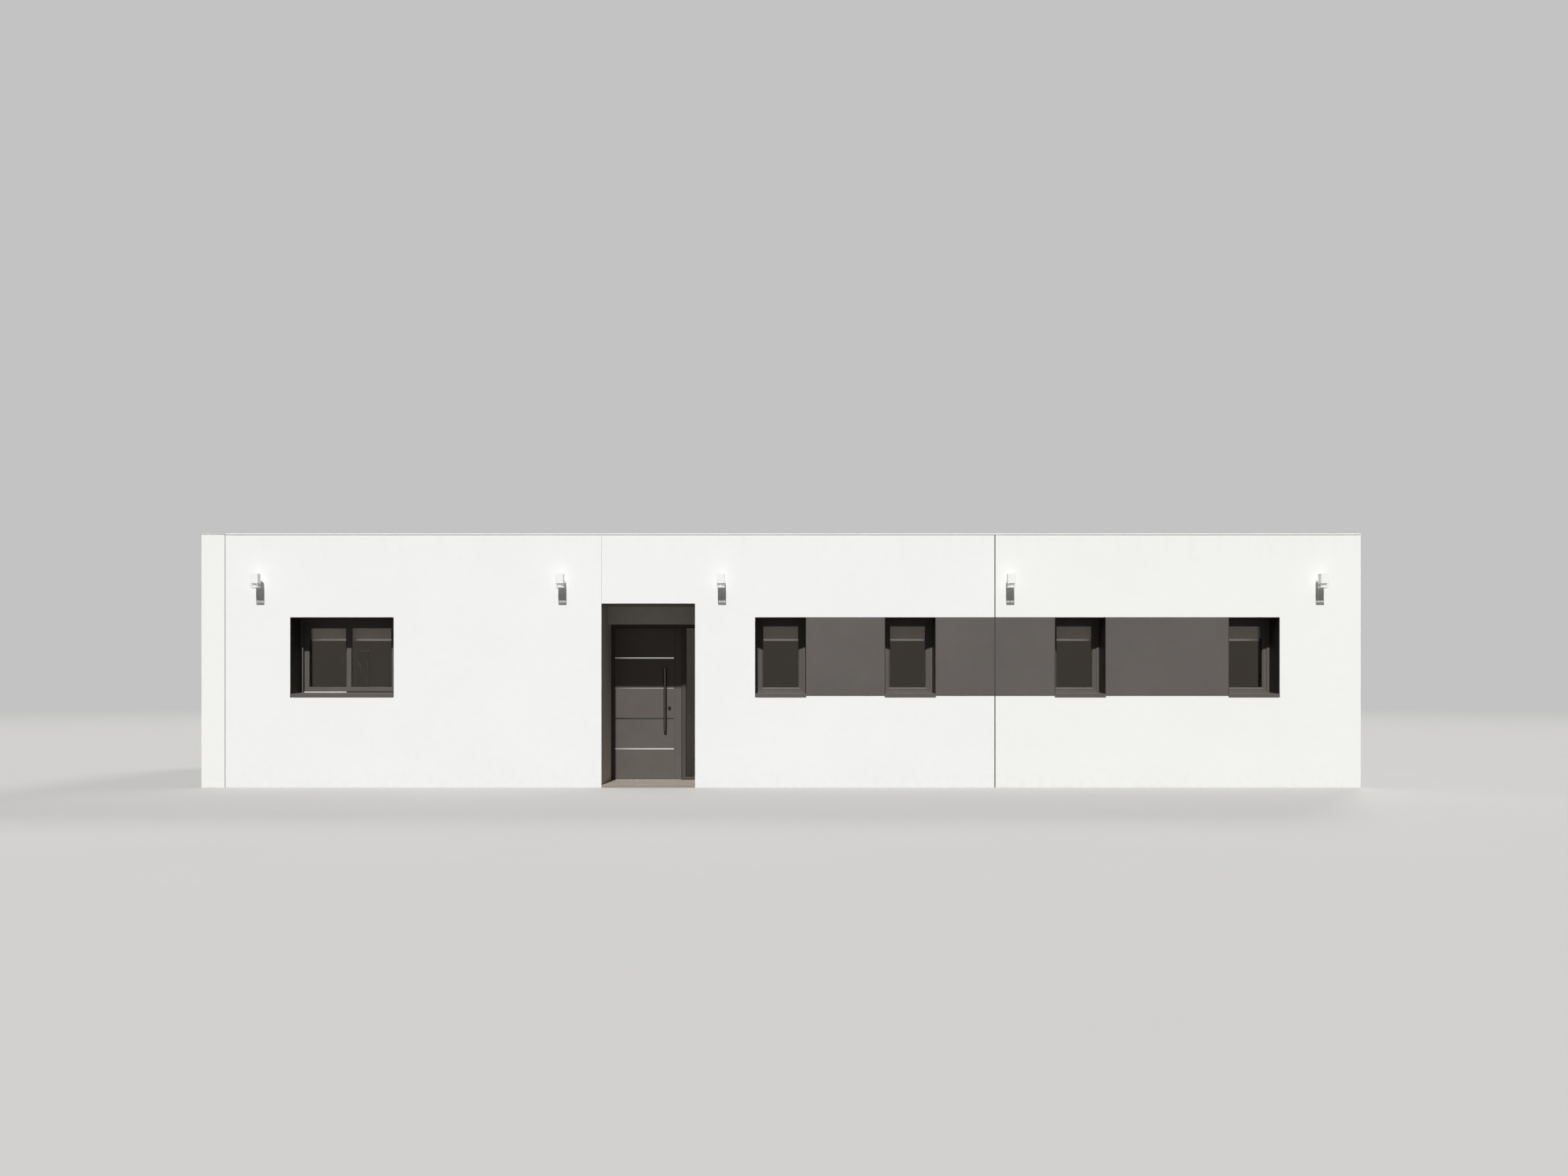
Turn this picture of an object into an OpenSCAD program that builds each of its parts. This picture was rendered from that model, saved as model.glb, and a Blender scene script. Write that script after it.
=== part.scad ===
// Flat-roofed bungalow with a recessed entrance, modelled at full size.
// The front faces -Y, the floor of the site is z = 0 and the origin is the middle of the plan.
// Distances along a wall are measured from the left end of the front, heights from the ground.

/* [House] */
// Length of the front
house_w = 16000; // [15700:50:18000]
// Depth from the front face to the rear face
house_d = 8000; // [6500:50:11000]
// Height from the ground to the top of the parapet coping
house_h = 3508; // [3450:2:3900]
// Thickness of the front and rear walls
front_t = 430; // [428:2:500]
// Thickness of the side walls, whose ends show on the front
side_t = 322; // [300:2:400]
// Position of the expansion joint between the two right-hand panels
expansion_x = 10952; // [10500:4:11400]
// Width of the expansion joint
expansion_w = 14; // [8:1:24]
// Width of the joint between a side wall and the wall that meets it
corner_joint_w = 7; // [3:1:12]
// Depth of the sealant behind the wall face
seal_recess = 9; // [4:1:20]

/* [Floor and roof] */
// Height of the finished floor and of the porch floor above the ground
floor_h = 35; // [25:1:38]
// Height of the parapet above the roof covering
parapet_h = 259; // [200:1:300]
// Thickness of the roof slab
roof_t = 200; // [160:5:240]
// Thickness of the insulation, membrane and gravel on the slab
cover_t = 90; // [60:5:110]
// Thickness of the coping along its outer edge
coping_t = 9; // [6:1:20]
// How far the coping stands out over the wall face
coping_over = 6; // [4:1:30]
// Height of the drip edge below the coping plate
coping_drip = 9; // [6:1:40]
// Fall of the coping towards the roof
coping_fall = 5; // [2:1:5]
// Gap between two lengths of coping
coping_gap = 3; // [2:1:8]
// Diameter of a roof outlet's gravel guard
outlet_d = 260; // [180:10:400]
// Height of a roof outlet's gravel guard
outlet_h = 90; // [50:5:150]

/* [Entrance] */
// Left edge of the entrance recess
niche_x = 5520; // [5300:10:5600]
// Width of the entrance recess
niche_w = 1292; // [1250:2:1400]
// Distance from the ceiling of the house down to the ceiling of the recess
niche_drop = 409; // [310:1:470]
// Distance from the front face to the lintel over the door
header_y = 670; // [560:5:800]
// How far that lintel hangs below the ceiling of the recess
header_drop = 241; // [180:1:320]
// Distance from the front face to the face of the door frame
door_y = 976; // [900:2:1200]
// Thickness of the walls beside the recess
niche_t = 200; // [120:10:300]
// Thickness of the ceiling over the recess
niche_ceiling_t = 100; // [60:5:200]
// Width of the line between the left front panel and the panel over the entrance
hair_joint = 2; // [1:1:4]

/* [Door] */
// Visible width of the door frame at the hinge side and over the leaf
frame_face = 45; // [36:1:60]
// Distance from the left edge of the recess to the post beside the leaf
post_x = 1032; // [1000:2:1050]
// Visible width of the post between leaf and side light
post_w = 56; // [50:1:70]
// Visible width of the frame at the right of the side light
side_frame_w = 50; // [40:1:60]
// Depth of the door frame
frame_d = 85; // [80:1:100]
// Thickness of the stop lip in front of the leaf
lip_t = 14; // [10:1:18]
// Width of leaf hidden behind the stop lip
lap = 12; // [9:1:16]
// Running gap round the leaf
run_gap = 5; // [5:0.5:8]
// Running gap at the lock side, where the edge swings out
lock_gap = 8.5; // [8.5:0.5:12]
// Thickness of the leaf
leaf_t = 70; // [60:1:75]
// Height of the threshold above the floor
threshold_h = 6; // [4:1:12]
// Number of panels that the inlays divide the leaf into
panel_n = 5; // [3:1:7]
// Height of a steel inlay
inlay_h = 19; // [12:1:40]
// Depth of the recess that holds an inlay
inlay_deep = 3; // [2:0.5:5]
// How far an inlay stands proud of the leaf
inlay_proud = 0.6; // [0.2:0.1:2]
// Distance from the end of an inlay to the upright groove
inlay_stop = 15; // [6:1:60]
// Distance from the left edge of the recess to the upright groove in the leaf
groove_x = 927; // [880:1:960]
// Width of the upright groove
groove_w = 7; // [4:1:12]
// Depth of the upright groove
groove_deep = 5; // [3:0.5:8]
// Distance from the left edge of the recess to the middle of the pull bar
pull_x = 788; // [700:2:820]
// Height of the lower end of the pull bar
pull_z = 757; // [500:1:900]
// Length of the pull bar
pull_len = 908; // [600:2:1300]
// Diameter of the pull bar
pull_d = 40; // [25:1:42]
// Distance from the leaf to the middle of the pull bar
pull_off = 46; // [40:1:80]
// Length of the cap at each end of the pull bar
pull_cap = 34; // [30:1:80]
// Distance from each end of the bar to its standoff
standoff_in = 120; // [60:5:200]
// Diameter of a standoff
standoff_d = 20; // [12:1:24]
// Distance from the left edge of the recess to the lock
lock_x = 849; // [830:1:870]
// Height of the lock
lock_z = 1086; // [950:1:1150]
// Diameter of the lock rose
rose_d = 46; // [40:1:54]
// How far the guard round the lock cylinder stands out from the leaf
guard_out = 24; // [14:1:32]
// Diameter of a hinge barrel
barrel_d = 16; // [14:1:18]
// Diameter of a hinge pin
pin_d = 8; // [6:0.5:9]
// Running clearance round the pin
pin_clear = 0.1; // [0.05:0.01:0.1]
// Height of one hinge knuckle
knuckle_h = 30; // [20:1:45]
// Heights of the middles of the hinges
hinge_z = [260, 1150, 2040]; // [200:10:2100]

/* [Windows] */
// Height of the bottom edge of the window openings
window_z = 1264; // [1000:2:1400]
// Height of the window openings
window_h = 1087; // [900:1:1200]
// Left edges of the single windows in the front wall, without the last one
single_x = [7640, 9429, 11776]; // [7500:1:12000]
// Distance of the last single window from the right end of the front
single_end = 1119; // [900:1:1400]
// Left edges of the single windows in the rear wall, without the last one
rear_single_x = [6750, 8750, 11600]; // [6600:10:11800]
// Distance of the last single window in the rear wall from that end of the house
rear_single_end = 844; // [700:2:1400]
// Width of a single window
single_w = 706; // [640:1:800]
// Left edge of the two-leaf sliding window
slider_x = 1225; // [900:1:1600]
// Width of a two-leaf sliding window
slider_w = 1428; // [1300:1:1560]
// Left edge of the second sliding window in the rear wall
rear_slider_x = 3500; // [3200:10:3900]
// Distances from the front face to the near edges of the side wall windows
side_window_y = [1900, 5400]; // [1500:10:5600]
// Depth of the front reveals, from the wall face to the window frame
reveal = 346; // [340:1:348]
// Thickness of the metal lining of a reveal
lining_t = 8; // [4:1:14]
// Thickness of the grey cladding between the single windows
band_t = 6; // [3:1:12]
// Visible width of an outer window frame
outer_w = 40; // [34:1:50]
// Extra height of a single window's lower frame member, behind the sill
frame_base = 19; // [10:1:30]
// Width of outer frame beside the sash, behind the lip
outer_back = 24; // [18:1:28]
// Depth of an outer window frame
outer_d = 76; // [70:1:80]
// Thickness of the frame lip in front of the sash
sash_lip = 14; // [8:1:18]
// Width of a sash member with its glazing bead
sash_w = 67; // [60:1:90]
// Visible height of the sloping glazing bead
bead_w = 20; // [10:1:24]
// Depth of a sash
sash_d = 56; // [50:1:60]
// Clearance between sash and frame
sash_clear = 2; // [1:0.5:4]
// Thickness of the glazing
glass_t = 24; // [16:1:28]
// Distance from the left edge of a sliding window to its meeting stile
meeting_x = 658; // [600:1:700]
// Width of the front meeting stile
meeting_w = 65; // [60:1:100]
// How much of the inner meeting stile shows beside the front one
meeting_show = 17; // [0:1:30]
// Width of the outer stile of the inner sliding sash
slide_stile = 80; // [74:1:110]
// Width of the outer stile of the sliding sash in front
slide_front_stile = 100; // [80:1:110]
// Height of the rails of sliding sashes
slide_rail = 90; // [76:1:100]
// Depth of a sliding sash
slide_d = 32; // [26:1:34]
// Height of the channels that the sliding sashes stand in
track_h = 12; // [8:1:16]
// Thickness of the glazing in a sliding sash
slide_glass_t = 20; // [10:1:22]
// How far the bright cover of the free track shows above the frame
cover_show = 12; // [8:1:24]
// Thickness of that cover
cover_sheet = 3; // [2:0.5:4]
// Height of a window handle's spindle above the bottom of its sash
handle_z = 480; // [380:5:520]
// Length of a window handle's lever
handle_len = 118; // [90:2:140]
// Distance from the sash to the room side of the lever
handle_off = 38; // [34:1:40]

/* [Sills and blinds] */
// How far a sill stands out in front of the wall
sill_out = 8; // [7:1:40]
// How far a sill passes the opening at each side
sill_side = 0; // [0:1:30]
// Height of a sill's front edge
sill_lip = 43; // [34:1:50]
// How far a sill's front edge hangs below the opening
sill_drop = 13; // [4:1:20]
// Thickness of a sill's drip edge
sill_drip = 5; // [3:0.5:6]
// Rise of a sill from its front edge to the window
sill_rise = 18; // [5:1:30]
// Height of the middle of a blind's bottom rail
blind_z = 2057; // [1500:1:2150]
// Height of a blind's bottom rail
blind_rail_h = 32; // [20:1:40]
// Thickness of a blind's bottom rail
blind_rail_t = 12; // [8:1:20]
// Thickness of the blind cloth
cloth_t = 2; // [1:0.5:3]
// Height and depth of the blind's cassette
cassette = 54; // [45:1:80]
// How far a blind passes the opening at each side
blind_side = 20; // [5:1:60]

/* [Wall lamps] */
// Distances of the wall lamps from the left end of the front
lamp_x = [802, 4972, 7174, 11151]; // [500:1:15500]
// Distance of the last wall lamp from the right end of the front
lamp_end = 576; // [400:1:800]
// Width of a wall lamp
lamp_w = 108; // [90:1:140]
// Depth of a wall lamp from back to front
lamp_deep = 104; // [80:1:140]
// Height of the bottom of a wall lamp
lamp_z = 2746; // [2600:1:2800]
// Height of the upper can
can_h = 134; // [100:1:180]
// Height of the lit gap under the can
lamp_gap = 37; // [28:1:50]
// Height of the thin rib that divides the gap
rib_h = 5; // [3:1:8]
// Height of the lower ring
ring_h = 20; // [14:1:60]
// Wall thickness of can, rib and ring
can_t = 6; // [4:1:12]
// Bevel on the upright edges of a wall lamp
lamp_bevel = 3; // [1:0.5:4]
// Distance from the wall to the back of the lamp
lamp_off = 90; // [70:1:140]
// Diameter of the lamp's wall plate
plate_d = 84; // [60:1:100]
// Thickness of the lamp's wall plate
plate_t = 12; // [8:1:20]
// Diameter of the lamp's arm
arm_d = 26; // [18:1:36]

/* [Hidden] */
$fn = 48;

white = [0.93, 0.93, 0.91];
niche_grey = [0.60, 0.59, 0.56];
band_grey = [0.40, 0.38, 0.37];
frame_grey = [0.30, 0.29, 0.28];
door_grey = [0.36, 0.34, 0.32];
steel = [0.75, 0.75, 0.74];
glass_tint = [0.25, 0.27, 0.27, 0.5];

// A small overshoot, so that a cut passes clean through a face
over = 1;
wall_top = house_h - coping_t;
roof_top = wall_top - parapet_h;
ceiling_z = roof_top - cover_t - roof_t;
niche_z = ceiling_z - niche_drop;
header_z = niche_z - header_drop;
window_room = front_t - reveal;
window_top = window_z + window_h;
front_singles = concat(single_x, [house_w - single_end - single_w]);
rear_singles = concat(rear_single_x, [house_w - rear_single_end - single_w]);
front_sliders = [slider_x];
rear_sliders = [slider_x, rear_slider_x];
niche_x1 = niche_x + niche_w;
frame_back = door_y + frame_d;
expansion_x0 = expansion_x - expansion_w / 2;
expansion_x1 = expansion_x + expansion_w / 2;
front_x0 = side_t + corner_joint_w;
rear_x1 = house_w - side_t - corner_joint_w;

// Frames of reference: x runs along the wall, y into the house, z up
module at_front() translate([-house_w / 2, -house_d / 2, 0]) children();
module at_rear() mirror([0, 1, 0]) at_front() children();
module at_left() translate([-house_w / 2, -house_d / 2, 0]) mirror([1, -1, 0]) children();
module at_right() mirror([1, 0, 0]) at_left() children();
module at_door() at_front() translate([niche_x, door_y, 0]) children();

module block(x0, x1, y0, y1, z0, z1) translate([x0, y0, z0]) cube([x1 - x0, y1 - y0, z1 - z0]);

// Runs a profile drawn in y and z along x
module run_x(x0, x1) translate([x0, 0, 0]) rotate([90, 0, 90]) linear_extrude(x1 - x0) children();

// Each window of a kind, with its left edge at x = 0 and the wall's thickness in $wall
module each_single() {
    let ($wall = front_t) {
        at_front() for (x = front_singles) translate([x, 0, 0]) children();
        at_rear() for (x = rear_singles) translate([x, 0, 0]) children();
    }
    for (y = side_window_y) let ($wall = side_t) {
        at_left() translate([y, 0, 0]) children();
        at_right() translate([y, 0, 0]) children();
    }
}

module each_slider() let ($wall = front_t) {
    at_front() for (x = front_sliders) translate([x, 0, 0]) children();
    at_rear() for (x = rear_sliders) translate([x, 0, 0]) children();
}

module each_window() {
    each_single() let ($w = single_w) children();
    each_slider() let ($w = slider_w) children();
}

function frame_y() = $wall - window_room;

// A rectangular ring in the plane of the wall, with its outer corner at the origin.
// steps lists [y, width of the member at that y] from the front to the back,
// and extra widens the left, right, bottom and top members.
module ring(w, h, y0, y1, steps, extra = [0, 0, 0, 0]) {
    last = len(steps) - 1;
    ys = concat([[steps[0][0] - over, steps[0][1]]], steps, [[steps[last][0] + over, steps[last][1]]]);
    n = len(ys);
    across = concat([for (s = ys) [s[1] + extra[0], s[0]]],
        [for (i = [n - 1 : -1 : 0]) [w - ys[i][1] - extra[1], ys[i][0]]]);
    upright = concat([for (s = ys) [s[0], s[1] + extra[2]]],
        [for (i = [n - 1 : -1 : 0]) [ys[i][0], h - ys[i][1] - extra[3]]]);
    difference() {
        block(0, w, y0, y1, 0, h);
        intersection() {
            translate([0, 0, -over]) linear_extrude(h + 2 * over) polygon(across);
            run_x(-over, w + over) polygon(upright);
        }
    }
}

// Openings cut through a wall that starts at y = 0
module opening(x, w, t) block(x, x + w, -over, t + over, window_z, window_top);

// One panel of a long wall, cut by those of the wall's windows that lie in it and by its band's recess
module facade_panel(x0, x1, z0, singles, sliders) {
    difference() {
        block(x0, x1, 0, front_t, z0, wall_top);
        for (x = singles) opening(x, single_w, front_t);
        for (x = sliders) opening(x, slider_w, front_t);
        block(min(singles), max(singles) + single_w, -over, band_t, window_z, window_top);
    }
}

module side_panel(y0, y1) {
    difference() {
        block(y0, y1, 0, side_t, 0, wall_top);
        for (y = side_window_y) opening(y, single_w, side_t);
    }
}

module floor_slab() {
    color(niche_grey)
    at_front() difference() {
        block(side_t, house_w - side_t, front_t, house_d - front_t, 0, floor_h);
        block(niche_x - niche_t, niche_x1 + niche_t, front_t - over, frame_back, -over, floor_h + over);
    }
}

module porch_slab() color(niche_grey) at_front() block(niche_x, niche_x1, 0, frame_back, 0, floor_h);

module left_wall() color(white) at_left() side_panel(0, house_d - front_t - corner_joint_w);

module right_wall() color(white) at_right() side_panel(front_t + corner_joint_w, house_d);

module front_panel(x0, x1, z0) {
    color(white) at_front() facade_panel(x0, x1, z0, front_singles, front_sliders);
}

module rear_panel(x0, x1) color(white) at_rear() facade_panel(x0, x1, 0, rear_singles, rear_sliders);

module front_wall_left() front_panel(front_x0, niche_x, 0);

module front_wall_over_door() front_panel(niche_x + hair_joint, niche_x1, niche_z);

module front_wall_middle() front_panel(niche_x1, expansion_x0, 0);

module front_wall_right() front_panel(expansion_x1, house_w, 0);

module rear_wall_left() rear_panel(0, niche_x);

module rear_wall_middle() rear_panel(niche_x + hair_joint, expansion_x0);

module rear_wall_right() rear_panel(expansion_x1, rear_x1);

// Sealant strips between the wall panels
module panel_joints() {
    color("dimgray") {
        at_front() block(side_t, front_x0, seal_recess, front_t, 0, wall_top);
        at_front() block(expansion_x0, expansion_x1, seal_recess, front_t, 0, wall_top);
        at_rear() block(expansion_x0, expansion_x1, seal_recess, front_t, 0, wall_top);
        at_rear() block(rear_x1, house_w - side_t, seal_recess, front_t, 0, wall_top);
        at_left()
            block(house_d - front_t - corner_joint_w, house_d - front_t, seal_recess, side_t, 0, wall_top);
        at_right() block(front_t, front_t + corner_joint_w, seal_recess, side_t, 0, wall_top);
    }
}

module niche_left_wall() {
    color(niche_grey) at_front() block(niche_x - niche_t, niche_x, front_t, frame_back, 0, ceiling_z);
}

module niche_right_wall() {
    color(niche_grey) at_front() block(niche_x1, niche_x1 + niche_t, front_t, frame_back, 0, ceiling_z);
}

module niche_lintel() {
    color(niche_grey) at_front() block(niche_x, niche_x1, header_y, frame_back, header_z, ceiling_z);
}

module niche_ceiling() {
    color(niche_grey) at_front()
        block(niche_x, niche_x1, front_t, header_y, niche_z, niche_z + niche_ceiling_t);
}

// Grey cladding in the shallow recess between the single windows, parted where the wall panels part
module band_row(singles) {
    for (i = [1 : len(singles) - 1]) {
        x0 = singles[i - 1] + single_w;
        x1 = singles[i];
        parted = x0 < expansion_x0 && x1 > expansion_x1;
        block(x0, parted ? expansion_x0 : x1, 0, band_t, window_z, window_top);
        if (parted) block(expansion_x1, x1, 0, band_t, window_z, window_top);
    }
}

module window_bands() {
    color(band_grey) {
        at_front() band_row(front_singles);
        at_rear() band_row(rear_singles);
    }
}

module window_linings() {
    color(frame_grey) each_window() translate([0, 0, window_z])
        ring($w, window_h, 0, frame_y(), [[0, lining_t], [frame_y(), lining_t]]);
}

// A sill slopes down from the window and ends in a drip edge in front of the wall
module sill(w) {
    bottom = window_z + lining_t;
    top = window_z + sill_lip - sill_drop;
    drip = top - sill_lip;
    outline = [[-sill_out, drip], [-sill_out + sill_drip, drip], [-sill_out + sill_drip, bottom],
        [frame_y(), bottom], [frame_y(), top + sill_rise], [-sill_out, top]];
    run_x(lining_t, w - lining_t) polygon(outline);
    intersection() {
        run_x(-sill_side, w + sill_side) polygon(outline);
        block(-sill_side - over, w + sill_side + over, -sill_out - over, 0, 0, house_h);
    }
}

module window_sills() color(frame_grey) each_window() sill($w);

// The room that is left for frames inside the lining
frame_h = window_h - 2 * lining_t;
module at_frame() translate([lining_t, frame_y(), window_z + lining_t]) children();

module single_frame() {
    ring(single_w - 2 * lining_t, frame_h, 0, outer_d,
        [[0, outer_w - 5], [5, outer_w], [sash_lip, outer_w], [sash_lip, outer_back], [outer_d, outer_back]],
        [0, 0, frame_base, 0]);
}

// The outer frame of a sliding window has a channel for each sash
module slider_frame() {
    rib = outer_w;
    channel = outer_w - track_h;
    step = (outer_d - 4) / 2;
    ring(slider_w - 2 * lining_t, frame_h, 0, outer_d,
        [[0, rib], [4, rib], [4, channel], [step, channel], [step, rib],
        [step + 4, rib], [step + 4, channel], [outer_d - 4, channel], [outer_d - 4, rib], [outer_d, rib]]);
}

module window_frames() {
    color(frame_grey) {
        each_single() at_frame() single_frame();
        each_slider() at_frame() slider_frame();
    }
}

// Sash with a sloping bead in front of the glass and a groove that holds it
groove_w_glass = 8;
sash_in = outer_back + sash_clear;
sash_z = sash_in + frame_base;
sash_full_w = single_w - 2 * lining_t - 2 * sash_in;
sash_h = frame_h - sash_in - sash_z;
glass_y = sash_lip + (sash_d - glass_t) / 2;
module single_sash() {
    translate([sash_in, 0, sash_z])
        ring(sash_full_w, sash_h, sash_lip, sash_lip + sash_d,
            [[sash_lip, sash_w - bead_w], [glass_y - 2, sash_w], [glass_y, sash_w],
            [glass_y, sash_w - groove_w_glass], [glass_y + glass_t, sash_w - groove_w_glass],
            [glass_y + glass_t, sash_w], [sash_lip + sash_d, sash_w]]);
}

module window_sashes() color(frame_grey) each_single() at_frame() single_sash();

// Sliding sashes: the left one on the inner track, the right one in front of it
slide_step = (outer_d - 4) / 2;
slide_h = frame_h - 2 * (outer_w - track_h) - sash_clear;
slide_left_w = meeting_x + meeting_w - lining_t - (outer_w - track_h) - sash_clear;
slide_right_w = slider_w - lining_t - (outer_w - track_h) - sash_clear - meeting_x;
slide_y_out = 4 + (slide_step - 4 - slide_d) / 2;
slide_y_in = slide_y_out + slide_step;
slide_glass_y = (slide_d - slide_glass_t) / 2;
slide_groove = 7;

module sliding_sash(w, left, right) {
    rail = slide_rail;
    ring(w, slide_h, 0, slide_d,
        [[0, rail - 6], [slide_glass_y, rail], [slide_glass_y, rail - slide_groove],
        [slide_glass_y + slide_glass_t, rail - slide_groove], [slide_glass_y + slide_glass_t, rail],
        [slide_d, rail]], [left - rail, right - rail, 0, 0]);
}

module at_left_sash() {
    at_frame() translate([outer_w - track_h + sash_clear, slide_y_in, outer_w - track_h]) children();
}

module at_right_sash() {
    at_frame() translate([meeting_x - lining_t, slide_y_out, outer_w - track_h]) children();
}

module sliding_sashes() {
    color(frame_grey) each_slider() {
        at_left_sash() sliding_sash(slide_left_w, slide_stile, meeting_w + meeting_show);
        at_right_sash() sliding_sash(slide_right_w, meeting_w, slide_front_stile);
    }
}

// A bright angle covers the free part of the outer track, in front of the inner sash
module track_covers() {
    channel = outer_w - track_h;
    y0 = slide_y_out;
    y1 = slide_y_out + slide_d;
    color(steel) each_slider() at_frame() run_x(channel + sash_clear, meeting_x - lining_t - sash_clear)
        polygon([[y0, channel], [y1, channel], [y1, outer_w + cover_show],
            [y1 - cover_sheet, outer_w + cover_show], [y1 - cover_sheet, channel + cover_sheet],
            [y0, channel + cover_sheet]]);
}

// Panes sit in the sash grooves with a small edge clearance
edge_clear = 2;
module pane(w, h, t, left, right, rail, groove) {
    x0 = left - groove + edge_clear;
    x1 = w - right + groove - edge_clear;
    z0 = rail - groove + edge_clear;
    block(x0, x1, 0, t, z0, h - z0);
}

module window_glass() {
    color(glass_tint) {
        each_single() at_frame() translate([sash_in, glass_y, sash_z])
            pane(sash_full_w, sash_h, glass_t, sash_w, sash_w, sash_w, groove_w_glass);
        each_slider() {
            at_left_sash() translate([0, slide_glass_y, 0])
                pane(slide_left_w, slide_h, slide_glass_t, slide_stile, meeting_w + meeting_show, slide_rail,
                    slide_groove);
            at_right_sash() translate([0, slide_glass_y, 0])
                pane(slide_right_w, slide_h, slide_glass_t, meeting_w, slide_front_stile, slide_rail,
                    slide_groove);
        }
    }
}

// Lever handle on the room side of a sash: an oblong rose, a neck and a lever that points down
handle_w = 20;
handle_t = 11;
handle_rose_t = 9;
module upright_slot(w, top, bottom, t) {
    rotate([90, 0, 0]) linear_extrude(t) {
        translate([-w / 2, bottom + w / 2]) square([w, top - bottom - w]);
        translate([0, bottom + w / 2]) circle(d = w);
        translate([0, top - w / 2]) circle(d = w);
    }
}

module window_handle() {
    translate([0, handle_rose_t, 0]) upright_slot(28, 36, -36, handle_rose_t);
    translate([0, handle_off, 0]) rotate([90, 0, 0])
        cylinder(d = handle_w - 5, h = handle_off - handle_rose_t);
    translate([0, handle_off, 0]) upright_slot(handle_w, handle_w / 2, handle_w / 2 - handle_len, handle_t);
}

module window_handles() {
    color(steel) {
        each_single() at_frame() translate([sash_in + sash_w / 2, sash_lip + sash_d, sash_z + handle_z])
            window_handle();
        each_slider() at_left_sash() translate([slide_stile / 2, slide_d, handle_z]) window_handle();
    }
}

// Roller blinds hang from a cassette on the inner wall face
blind_top = window_top + 12;
module window_blinds() {
    color("lightgray") each_window()
        block(-blind_side + 8, $w + blind_side - 8, $wall + cassette / 2, $wall + cassette / 2 + cloth_t,
            blind_z + blind_rail_h / 2, blind_top);
}

module blind_cassettes() {
    color("whitesmoke") each_window()
        run_x(-blind_side, $w + blind_side) translate([$wall, blind_top]) difference() {
            square(cassette);
            translate([cassette, 0]) circle(d = 24);
        }
}

module blind_rails() {
    color("whitesmoke") each_window()
        block(-blind_side + 4, $w + blind_side - 4, $wall + cassette / 2 + (cloth_t - blind_rail_t) / 2,
            $wall + cassette / 2 + (cloth_t + blind_rail_t) / 2,
            blind_z - blind_rail_h / 2, blind_z + blind_rail_h / 2);
}

// Entrance door: x from the left edge of the recess, y from the face of the frame
leaf_x0 = frame_face - lap;
leaf_x1 = post_x + lap;
leaf_y = lip_t + run_gap;
head_lip_z = header_z - frame_face;
leaf_z0 = floor_h + threshold_h + run_gap;
leaf_z1 = head_lip_z + lap;
post_body_x = leaf_x1 + lock_gap;
light_x0 = post_x + post_w;
light_x1 = niche_w - side_frame_w;
light_glass_t = 24;
light_glass_y = 30;
light_groove = 8;
light_rail_h = 45;

// Pocket for the pane of the side light, cut into the members round it
module light_pocket() {
    block(light_x0 - light_groove, light_x1 + light_groove, light_glass_y, light_glass_y + light_glass_t,
        floor_h + light_rail_h - light_groove, head_lip_z + light_groove);
}

module door_posts() {
    color(frame_grey) at_door() difference() {
        union() {
            block(0, frame_face, 0, lip_t, floor_h, head_lip_z);
            block(0, leaf_x0 - run_gap, 0, frame_d, floor_h, head_lip_z);
            block(post_x, light_x0, 0, lip_t, floor_h, head_lip_z);
            block(post_body_x, light_x0, 0, frame_d, floor_h, head_lip_z);
            block(light_x1, niche_w, 0, frame_d, floor_h, head_lip_z);
            block(light_x0, light_x1, 0, frame_d, floor_h, floor_h + light_rail_h);
        }
        light_pocket();
    }
}

module door_head() {
    color(frame_grey) at_door() difference() {
        block(0, niche_w, 0, frame_d, head_lip_z, header_z);
        block(leaf_x0 - run_gap, post_body_x, lip_t, frame_d + over, head_lip_z - over, leaf_z1 + run_gap);
        light_pocket();
    }
}

module door_threshold() {
    color(steel) at_door() run_x(leaf_x0 - run_gap, post_body_x)
        polygon([[lip_t, floor_h], [frame_d, floor_h], [frame_d, floor_h + threshold_h - 2],
            [frame_d - 8, floor_h + threshold_h], [lip_t + 8, floor_h + threshold_h],
            [lip_t, floor_h + threshold_h - 2]]);
}

module side_light_glass() {
    inset = light_groove - edge_clear;
    color(glass_tint) at_door()
        block(light_x0 - inset, light_x1 + inset, light_glass_y, light_glass_y + light_glass_t,
            floor_h + light_rail_h - inset, head_lip_z + inset);
}

// The leaf is divided by level inlays and one upright groove
panel_h = (head_lip_z - leaf_z0) / panel_n;
inlay_z = [for (i = [1 : panel_n - 1]) leaf_z0 + i * panel_h];
inlay_x1 = groove_x - inlay_stop;
leaf_back = leaf_y + leaf_t;

module door_leaf() {
    color(door_grey) at_door() difference() {
        block(leaf_x0, leaf_x1, leaf_y, leaf_back, leaf_z0, leaf_z1);
        for (z = inlay_z)
            block(leaf_x0 - over, inlay_x1, leaf_y - over, leaf_y + inlay_deep,
                z - inlay_h / 2, z + inlay_h / 2);
        block(groove_x, groove_x + groove_w, leaf_y - over, leaf_y + groove_deep,
            leaf_z0 - over, leaf_z1 + over);
    }
}

module door_inlays() {
    color(steel) at_door() for (z = inlay_z)
        block(leaf_x0, inlay_x1, leaf_y - inlay_proud, leaf_y + inlay_deep, z - inlay_h / 2, z + inlay_h / 2);
}

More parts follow.
